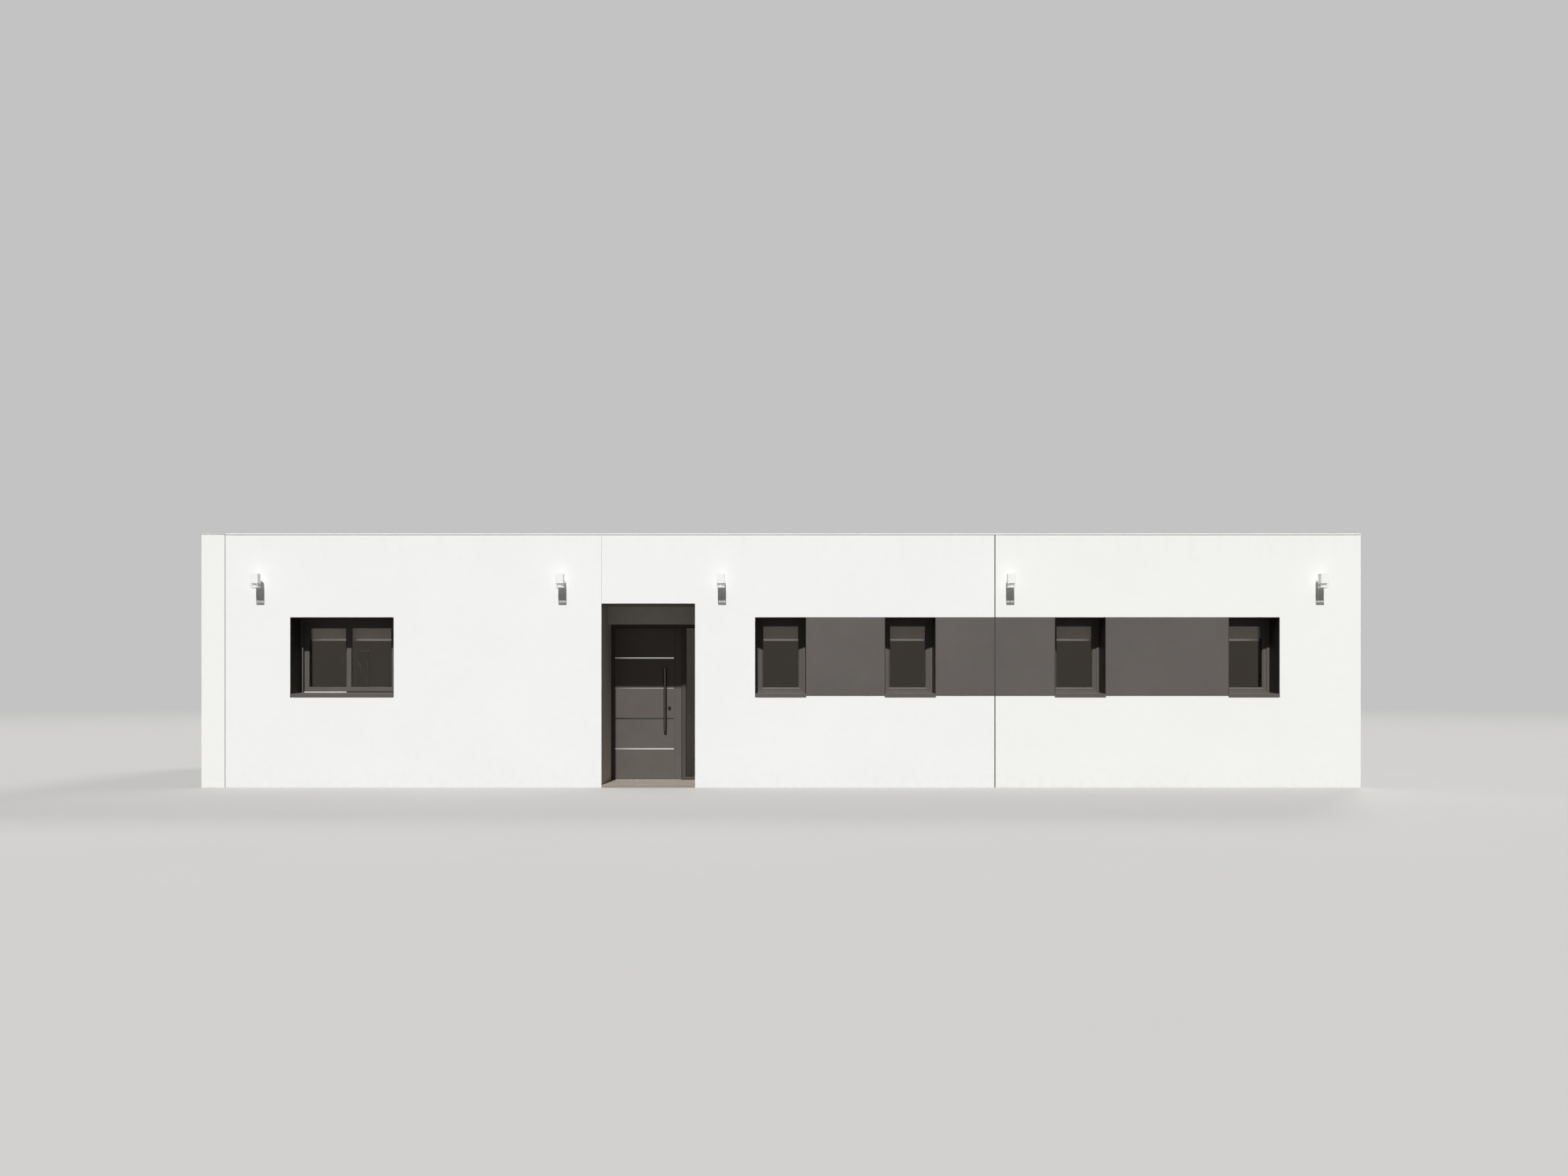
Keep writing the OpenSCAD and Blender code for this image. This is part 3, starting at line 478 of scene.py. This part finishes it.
def concrete(name, tone):
    """Concrete with uneven patches, sand, and small pores drawn as dark dots of painted shade."""
    surface = Surface(name, 0.8)
    broad = surface.ramp(surface.noise(2.2, 5.0, 0.6), (0.3, shade(tone, 0.9)), (0.7, shade(tone, 1.05)))
    sand = surface.ramp(surface.noise(210.0, 3.0, 0.7), (0.3, 0.90), (0.7, 1.05))
    # Painted shade: small pores are drawn as dark dots
    painted_pore_shade = surface.ramp(surface.cells(75.0), (0.05, 0.72), (0.10, 1.0))
    sanded = surface.mix("MULTIPLY", 1.0, broad, sand)
    surface.drive("Base Color", surface.mix("MULTIPLY", 0.6, sanded, painted_pore_shade))
    surface.drive("Normal", surface.bump(surface.noise(120.0, 4.0, 0.7), 0.001, 0.5))
    surface.varied_rough(surface.noise(8.0), 0.72, 0.88)
    surface.set("Specular IOR Level", 0.3)
    return surface.material


def gravel(name, stone_size):
    """Rounded gravel: each cell of a Voronoi pattern is a stone with its own grey."""
    surface = Surface(name, 0.88)
    scale = 1 / stone_size
    tint = surface.parts_of(surface.cells(scale, "Color"))[0]
    from_middle = surface.cells(scale)
    tone = surface.ramp(tint, *STONE_TONES)
    # Painted shade: each stone darkens towards its edge, as shade falls between the stones
    gap = surface.ramp(from_middle, (0.35, 1.0), (0.75, 0.28))
    surface.drive("Base Color", surface.mix("MULTIPLY", 1.0, tone, gap))
    dome = surface.ramp(from_middle, (0.0, 1.0), (0.8, 0.0))
    surface.drive("Normal", surface.bump(dome, stone_size * 0.35, 0.9))
    surface.varied_rough(surface.noise(30.0), 0.8, 0.95)
    surface.set("Specular IOR Level", 0.3)
    return surface.material


def rubber(name, tone):
    """Rubber of seals and sealant, matt and slightly cloudy."""
    surface = Surface(name, 0.62)
    deep, pale = shade(tone, 0.8), shade(tone, 1.2)
    surface.drive("Base Color", surface.ramp(surface.noise(60.0, 4.0), (0.3, deep), (0.7, pale)))
    surface.drive("Normal", surface.bump(surface.noise(240.0, 3.0), 0.0003, 0.5))
    return surface.material


def let_light_pass(surface, colour):
    """Lamps and scattered light pass the pane straight, each face taking its share."""
    clear = surface.node("BsdfTransparent")
    clear.inputs["Color"].default_value = (*colour, 1)
    path = surface.node("LightPath")
    straight = surface.maths("MAXIMUM", path.outputs["Is Shadow Ray"], path.outputs["Is Diffuse Ray"])
    surface.blend(straight, clear.outputs["BSDF"])


def window_glass():
    """Clear insulating glass, faintly bronze."""
    surface = Surface("window_glass", 0.0)
    streak = surface.noise(3.0, 3.0)
    surface.drive("Base Color", surface.ramp(streak, (0.3, shade(GLASS_TONE, 0.97)), (0.7, GLASS_TONE)))
    surface.set("Transmission Weight", 1.0)
    surface.set("IOR", 1.52)
    surface.set("Specular Tint", (*GLASS_MIRROR, 1))
    surface.drive("Normal", surface.bump(surface.noise(1.3, 1.0), 0.002, 0.03))
    let_light_pass(surface, GLASS_LIGHT)
    return surface.material


def opal_glass():
    """Milky glass that lamps shine through."""
    surface = Surface("opal_glass", 0.28)
    cloud = surface.noise(14.0)
    surface.drive("Base Color", surface.ramp(cloud, (0.3, shade(OPAL_TONE, 0.96)), (0.7, OPAL_TONE)))
    surface.drive("Normal", surface.bump(surface.noise(160.0, 2.0), 0.0003, 0.3))
    surface.set("Subsurface Weight", 0.8)
    surface.set("Subsurface Radius", (1.0, 1.0, 1.0))
    surface.set("Subsurface Scale", 0.02)
    let_light_pass(surface, OPAL_LIGHT)
    return surface.material


def blind_cloth():
    """Plain woven cloth, warp and weft as two crossed wave patterns of two threads a wave."""
    surface = Surface("blind_cloth", 0.9)
    x, y, z = surface.parts_of(surface.place)
    turn_per_metre = THREADS_PER_METRE * math.tau / 2
    across = surface.maths("ADD", x, y)
    warp = surface.maths("SINE", surface.maths("MULTIPLY", across, turn_per_metre))
    weft = surface.maths("SINE", surface.maths("MULTIPLY", z, turn_per_metre))
    weave = surface.maths("MULTIPLY", surface.maths("ADD", warp, weft), 0.25)
    cloudy = surface.ramp(surface.noise(9.0, 3.0), (0.3, shade(CLOTH_TONE, 0.93)), (0.7, CLOTH_TONE))
    # Painted shade: the cloth is drawn darker where the weave lies low and lighter where threads cross high
    weave_painted_shade = surface.ramp(surface.maths("ADD", weave, 0.5), (0.0, 0.86), (1.0, 1.04))
    surface.drive("Base Color", surface.mix("MULTIPLY", 1.0, cloudy, weave_painted_shade))
    surface.drive("Normal", surface.bump(weave, 0.0003, 0.6))
    surface.set("Sheen Weight", 0.2)
    return surface.material


def moulded_plastic(name, tone):
    """Dark plastic with the grain of its mould."""
    surface = Surface(name, 0.5)
    deep, pale = shade(tone, 0.85), shade(tone, 1.15)
    surface.drive("Base Color", surface.ramp(surface.noise(20.0, 4.0), (0.3, deep), (0.7, pale)))
    surface.drive("Normal", surface.bump(surface.noise(500.0, 2.0), 0.0003, 0.5))
    surface.varied_rough(surface.noise(14.0), 0.42, 0.58)
    return surface.material


def dress(material, *names):
    """Gives CAD nodes their finished material."""
    for name in names:
        NODES[name].data.materials.clear()
        NODES[name].data.materials.append(material)


def dress_nodes():
    dress(white_render("white_render", WHITE), "rear_wall_left", "rear_wall_middle", "rear_wall_right")
    dress(white_render("white_render_warm", WARM_WHITE), "left_wall", "right_wall", "front_wall_right")
    dress(white_render_at_entrance(), "front_wall_left", "front_wall_over_door", "front_wall_middle")
    dress(niche_render("niche_render", NICHE_TONE), "niche_left_wall", "niche_right_wall")
    # The lintel gets a lighter copy of the recess render as painted light, and the recess ceiling a darker
    # copy as painted shade
    dress(niche_render("niche_render_painted_light", shade(NICHE_TONE, 1.52)), "niche_lintel")
    dress(niche_render("niche_render_painted_shade", shade(NICHE_TONE, 0.70)), "niche_ceiling")
    dress(rubber("joint_sealant", SEALANT_TONE), "panel_joints")
    dress(band_cladding(), "window_bands")
    dress(concrete("fine_concrete", SCREED_TONE), "floor_slab", "porch_slab")
    dress(concrete("cast_concrete", CONCRETE_TONE), "roof_slab")
    dress(gravel("gravel_bed", BED_STONE), "roof_covering")
    dress(moulded_plastic("drain_plastic", DRAIN_TONE), "roof_outlets")
    dress(powder_coat("white_metal", COPING_TONE, 0.38, spread=0.02), "parapet_coping", "blind_cassettes")
    dress(powder_coat("lamp_metal", LAMP_TONE, 0.30, spread=0.02, gloss=0.8), "lamp_bodies", "lamp_brackets")
    dress(opal_glass(), "lamp_diffusers")

    # Reveal linings: a dark coat darkened further as painted shade
    dress(powder_coat("lining_metal", LINING_TONE_WITH_PAINTED_SHADE, 0.45), "window_linings")
    dress(
        powder_coat("frame_metal", shade(ANTHRACITE, 1.04), 0.40, gloss=0.08),
        "window_sills", "window_frames", "window_sashes", "sliding_sashes",
    )
    dress(powder_coat("cover_aluminium", COVER_TONE, 0.36), "track_covers")
    dress(window_glass(), "window_glass", "side_light_glass")
    dress(brushed_steel("rail_aluminium", RAIL_TONE, ALONG_X), "blind_rails")
    dress(
        brushed_steel("steel_brushed_upright", shade(STEEL_TONE, 0.92), ALONG_Z),
        "frame_hinges", "leaf_hinges", "window_handles",
    )

    dress(powder_coat("door_frame_metal", shade(ANTHRACITE, 0.64), 0.42), "door_posts", "door_head")
    dress(powder_coat("door_coat", DOOR_TONE, 0.42), "door_leaf")
    dress(powder_coat("threshold_metal", THRESHOLD_TONE, 0.36), "door_threshold")
    dress(inlay_steel(), "door_inlays")
    pull_steel = brushed_steel("steel_dark_upright", shade(DARK_STEEL, 1.5), ALONG_Z, low=0.14, high=0.24)
    dress(pull_steel, "door_pull")
    # The lock gets a far darker steel than the pull, as painted shadow for the shadow that it casts below
    # itself
    dress(brushed_steel("steel_lock_painted_shadow", shade(DARK_STEEL, 0.45), EVEN), "door_lock")


def soften(width, *names):
    """Breaks the sharp edges of CAD nodes as real ones are broken."""
    for name in names:
        weld = NODES[name].modifiers.new("join_faces", "WELD")
        weld.merge_threshold = 1e-5
        bevel = NODES[name].modifiers.new("broken_edges", "BEVEL")
        bevel.width = width
        bevel.segments = 2
        bevel.limit_method = "ANGLE"
        bevel.angle_limit = SHARP
        bevel.harden_normals = True


# Pieces that the frame lacks

def make_blinds(material):
    """One hanging cloth for each blind, from the roller in its cassette down to its rail."""
    foot, head = (round(corner.z, 4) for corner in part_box("window_blinds"))
    length = head - foot
    columns, rows = 24, 8
    wave_depth, wave_turn, curl_depth = 0.9 * MM, 17.0, 1.2 * MM
    random.seed(11)
    for number, box in enumerate(solids("blind_rails"), 1):
        rail = Facing(box)
        width = rail.width - 8 * MM
        place = rail.matrix()
        base = foot - rail.centre.z
        phase = random.uniform(0, math.tau)
        mesh = bmesh.new()
        grid = []
        for row in range(rows + 1):
            share = row / rows
            belly = math.sin(share * math.pi)
            line = []
            for column in range(columns + 1):
                u = width * (column / columns - 0.5)
                wave = wave_depth * math.sin(u * wave_turn + phase)
                curl = curl_depth * (2 * u / width) ** 6
                line.append(mesh.verts.new(place @ Vector((u, (wave + curl) * belly, base + share * length))))
            grid.append(line)
        for low, high in zip(grid, grid[1:]):
            for i in range(columns):
                mesh.faces.new((low[i], low[i + 1], high[i + 1], high[i]))
        cloth = piece(f"blind_cloth_{number:02d}", mesh, material)
        cloth.data.shade_smooth()
        thick = cloth.modifiers.new("thickness", "SOLIDIFY")
        thick.thickness = CLOTH_THICK
        thick.offset = 0.0
        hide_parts("window_blinds")


def make_gaskets(material):
    """Black glazing gaskets on both faces of each pane, with a lip in the glazing groove."""
    mesh = bmesh.new()
    seat, lip, shown, proud = 7 * MM, 6 * MM, 5 * MM, 2.5 * MM
    hidden = 2 * (seat - lip)
    for box in solids("window_glass") + solids("side_light_glass"):
        pane = Facing(box)
        width, height = pane.width - hidden, pane.height - hidden
        half = pane.depth / 2
        for front, back in ((-half - proud, -half), (half, half + proud)):
            add_ring(mesh, width, height, lip + shown, front, back, pane.matrix())
    piece("glazing_gaskets", mesh, material)


def make_foot_seals(material):
    """A black seal at the foot of each sliding window, over the half of the track without a cover."""
    mesh = bmesh.new()
    over_cover, end_gap, proud, bevel = 6 * MM, 28 * MM, 1.5 * MM, 0.4 * MM
    sill_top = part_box("window_sills")[1].z
    windows = [Facing(box) for box in solids("window_frames")]
    for box in solids("track_covers"):
        cover = Facing(box)
        window = min(windows, key=lambda other: (other.centre - cover.centre).length)
        start = (cover.centre - window.centre).dot(window.right) + cover.width / 2
        end = window.width / 2 - end_gap
        face = -window.depth / 2
        low, high = sill_top - window.centre.z, box[1].z + over_cover - window.centre.z
        add_box(mesh, (start, face - proud, low), (end, face, high), window.matrix(), bevel)
    piece("slider_foot_seals", mesh, material)


def make_door_seals(material):
    """The black seal of the entrance door, where leaf and frame meet at the sides and the head; its black
    partly stands in for the shade in the gap between leaf and frame, as painted shade.
    """
    mesh = bmesh.new()
    width, proud, gap, foot_gap, bevel = 8 * MM, 1 * MM, 0.3 * MM, 2 * MM, 1.5 * MM
    left_post, right_post = [box for box in solids("door_posts") if box[0].y < 0]
    leaf_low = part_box("door_leaf")[0]
    front, back = left_post[0].y - proud, leaf_low.y - gap
    left, right = left_post[1].x, right_post[0].x
    foot, top = leaf_low.z + foot_gap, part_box("door_head")[0].z
    for start, end, low in (
        (left, left + width, foot),
        (right - width, right, foot),
        (left + width, right - width, top - width),
    ):
        add_box(mesh, (start, front, low), (end, back, top), bevel=bevel)
    piece("door_seals", mesh, material)


def make_outlet_ribs(material):
    """Upright ribs and a top ring that make each roof drain's guard a basket."""
    mesh = bmesh.new()
    ribs, rib_width, proud, sunk = 28, 7 * MM, 5 * MM, 0.5 * MM
    rim, foot, crown = 20 * MM, 12 * MM, 16 * MM
    ring_height, ring_inner, ring_outer = 6 * MM, 0.28, 0.36
    angles = [math.radians(angle) for angle in range(0, 76, 15)]
    for lo, hi in solids("roof_outlets"):
        middle = Matrix.Translation(((lo.x + hi.x) / 2, (lo.y + hi.y) / 2, lo.z))
        rise = hi.z - lo.z
        reach = (hi.x - lo.x) / 2 - rim
        bend = []
        for angle in angles:
            height = foot + (rise - crown) * math.sin(angle)
            bend.append(Vector(((reach + proud) * math.cos(angle), 0, height)))
        for i in range(ribs):
            turn = middle @ Matrix.Rotation(math.tau * i / ribs, 4, "Z")
            for start, end in zip(bend, bend[1:]):
                along = end - start
                tilt = along.to_track_quat("Z", "Y").to_matrix().to_4x4()
                corner = (sunk, rib_width / 2, along.length)
                add_box(mesh, (-proud, -rib_width / 2, 0), corner, turn @ Matrix.Translation(start) @ tilt)
        inner, outer, low = reach * ring_inner, reach * ring_outer, rise - ring_height
        ring = [(inner, low), (inner, rise), (outer, rise), (outer, low), (inner, low)]
        add_turned(mesh, ring, middle, 32)
    piece("roof_outlet_ribs", mesh, material)


def make_gravel_stones(material):
    """Loose larger stones on the gravel bed, each a squashed and turned many-sided pebble."""
    margin = 30 * MM
    lo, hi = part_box("roof_covering")
    drains = [((a + b) / 2, (b.x - a.x) / 2) for a, b in solids("roof_outlets")]
    random.seed(5)
    pebble = bmesh.new()
    bmesh.ops.create_icosphere(pebble, subdivisions=1, radius=1.0)
    corners = [vert.co.copy() for vert in pebble.verts]
    sides = [[vert.index for vert in face.verts] for face in pebble.faces]
    pebble.free()
    points, faces = [], []
    while len(faces) < STONE_COUNT * len(sides):
        size = random.uniform(*STONE_RADII_MM) * MM
        x = random.uniform(lo.x + margin, hi.x - margin)
        y = random.uniform(lo.y + margin, hi.y - margin)
        spot = Vector((x, y, hi.z))
        if any((spot.xy - middle.xy).length < reach + margin for middle, reach in drains):
            continue
        scale = Matrix.Diagonal((size * random.uniform(0.9, 1.5), size, size * random.uniform(0.5, 0.8), 1))
        turn = Matrix.Rotation(random.uniform(0, math.tau), 4, "Z")
        turn @= Matrix.Rotation(random.uniform(-0.3, 0.3), 4, "X")
        place = Matrix.Translation(spot) @ turn @ scale
        start = len(points)
        points += [place @ (corner * random.uniform(0.88, 1.1)) for corner in corners]
        faces += [[start + i for i in side] for side in sides]
    data = bpy.data.meshes.new("roof_stones")
    data.from_pydata(points, [], faces)
    data.shade_smooth()
    hang("roof_stones", data, material)


def make_lamp_screws(material):
    """Two countersunk screws in each lamp's wall plate."""
    mesh = bmesh.new()
    plate, offset = 12 * MM, 29 * MM
    face = -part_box("front_wall_left")[0].y + plate
    outline = [(radius * MM, height * MM) for radius, height in SCREW_OUTLINE_MM]
    for lo, hi in solids("lamp_brackets"):
        side = math.copysign(1, (lo + hi).y)
        turn = Matrix.Rotation(-side * math.pi / 2, 4, "X")
        for along in (-offset, offset):
            spot = ((lo.x + hi.x) / 2 + along, side * face, (lo.z + hi.z) / 2)
            add_turned(mesh, outline, Matrix.Translation(spot) @ turn, 12)
    piece("lamp_plate_screws", mesh, material)


# Stage, light and camera

def look_ray(tree):
    """1 for rays that show the surround: from the camera, off gloss or through glass."""
    path = tree.nodes.new("ShaderNodeLightPath")
    total = path.outputs["Is Camera Ray"]
    for name in ("Is Glossy Ray", "Is Transmission Ray"):
        more = tree.nodes.new("ShaderNodeMath")
        more.operation = "MAXIMUM"
        tree.links.new(total, more.inputs[0])
        tree.links.new(path.outputs[name], more.inputs[1])
        total = more.outputs["Value"]
    return total


def make_surround():
    """A world that lights from above, and shows as an even backdrop."""
    world = bpy.data.worlds.new("surround")
    bpy.context.scene.world = world
    world.use_nodes = True
    tree = world.node_tree
    light = tree.nodes["Background"]
    light.inputs["Color"].default_value = (*SKY_TINT, 1)
    way = tree.nodes.new("ShaderNodeSeparateXYZ")
    tree.links.new(tree.nodes.new("ShaderNodeTexCoord").outputs["Generated"], way.inputs["Vector"])
    rise = tree.nodes.new("ShaderNodeMapRange")
    rise.inputs["To Min"].default_value = SKY_LOW
    rise.inputs["To Max"].default_value = SKY_HIGH
    tree.links.new(way.outputs["Z"], rise.inputs["Value"])
    tree.links.new(rise.outputs["Result"], light.inputs["Strength"])
    shown = tree.nodes.new("ShaderNodeBackground")
    shown.inputs["Color"].default_value = (*BACKDROP, 1)
    choice = tree.nodes.new("ShaderNodeMixShader")
    tree.links.new(look_ray(tree), choice.inputs["Fac"])
    tree.links.new(light.outputs["Background"], choice.inputs[1])
    tree.links.new(shown.outputs["Background"], choice.inputs[2])
    tree.links.new(choice.outputs["Shader"], tree.nodes["World Output"].inputs["Surface"])


def floor_material():
    """A pale matt floor that turns into the backdrop's tone in the distance."""
    surface = Surface("studio_floor", 0.95)
    seen = look_ray(surface.tree)
    tone = surface.ramp(surface.noise(0.6, 3.0), (0.3, shade(FLOOR_TONE, 0.985)), (0.7, FLOOR_TONE))
    surface.drive("Base Color", surface.mix("MIX", seen, shade(FLOOR_TONE, FLOOR_BOUNCE), tone))
    surface.set("Specular IOR Level", 0.0)
    far = surface.node("VectorMath", operation="LENGTH")
    surface.link(surface.place, far.inputs[0])
    fade = surface.node("MapRange", interpolation_type="SMOOTHSTEP")
    fade.inputs["From Min"].default_value = FADE_START
    fade.inputs["From Max"].default_value = FADE_END
    surface.link(far.outputs["Value"], fade.inputs["Value"])
    share = surface.maths("MULTIPLY", fade.outputs["Result"], seen)
    glow = surface.node("Emission")
    glow.inputs["Color"].default_value = (*BACKDROP, 1)
    surface.blend(share, glow.outputs["Emission"])
    return surface.material


def make_floor():
    data = bpy.data.meshes.new("studio_floor")
    corners = [(x * FLOOR_REACH, y * FLOOR_REACH, 0) for x, y in ((-1, -1), (1, -1), (1, 1), (-1, 1))]
    data.from_pydata(corners, [], [(0, 1, 2, 3)])
    data.materials.append(floor_material())
    floor = bpy.data.objects.new("studio_floor", data)
    bpy.context.scene.collection.objects.link(floor)


def make_lamp(name, source, strength, spread):
    """A far lamp. source is its (azimuth, elevation) in degrees, azimuth 0 being straight in front."""
    azimuth, elevation = (math.radians(angle) for angle in source)
    level = math.cos(elevation)
    towards = Vector((math.sin(azimuth) * level, -math.cos(azimuth) * level, math.sin(elevation)))
    data = bpy.data.lights.new(name, "SUN")
    data.energy = strength
    data.angle = math.radians(spread)
    lamp = bpy.data.objects.new(name, data)
    lamp.rotation_mode = "QUATERNION"
    lamp.rotation_quaternion = towards.to_track_quat("Z", "Y")
    bpy.context.scene.collection.objects.link(lamp)


def make_camera():
    data = bpy.data.cameras.new("camera")
    data.sensor_width = SENSOR_MM
    data.lens = LENS_MM
    data.shift_y = RISE
    data.clip_end = 2000.0
    camera = bpy.data.objects.new("camera", data)
    camera.location = EYE
    camera.rotation_euler = (math.pi / 2, 0, 0)
    bpy.context.scene.collection.objects.link(camera)
    bpy.context.scene.camera = camera


make_camera()
make_surround()
make_floor()
make_lamp("key_lamp", KEY_FROM, KEY_STRENGTH, KEY_SPREAD)
make_lamp("back_lamp", BACK_FROM, BACK_STRENGTH, BACK_SPREAD)
bpy.context.scene.view_settings.view_transform = "Standard"

dress_nodes()
soften(
    1.0 * MM, "front_wall_left", "front_wall_over_door", "front_wall_middle", "front_wall_right", "left_wall",
    "right_wall", "rear_wall_left", "rear_wall_middle", "rear_wall_right", "niche_lintel", "door_leaf",
    "window_sills", "window_frames", "window_sashes", "sliding_sashes", "door_posts", "door_head",
)
soften(1.5 * MM, "lamp_bodies")
soften(0.8 * MM, "track_covers")
soften(2.0 * MM, "blind_cassettes", "blind_rails", "porch_slab")

make_blinds(blind_cloth())
gasket_rubber = rubber("gasket_rubber", GASKET_TONE)
make_gaskets(gasket_rubber)
make_foot_seals(gasket_rubber)
make_door_seals(gasket_rubber)
make_outlet_ribs(moulded_plastic("rib_plastic", RIB_TONE))
make_gravel_stones(gravel("loose_stones", LOOSE_STONE))
make_lamp_screws(brushed_steel("screw_steel", STEEL_TONE, EVEN))
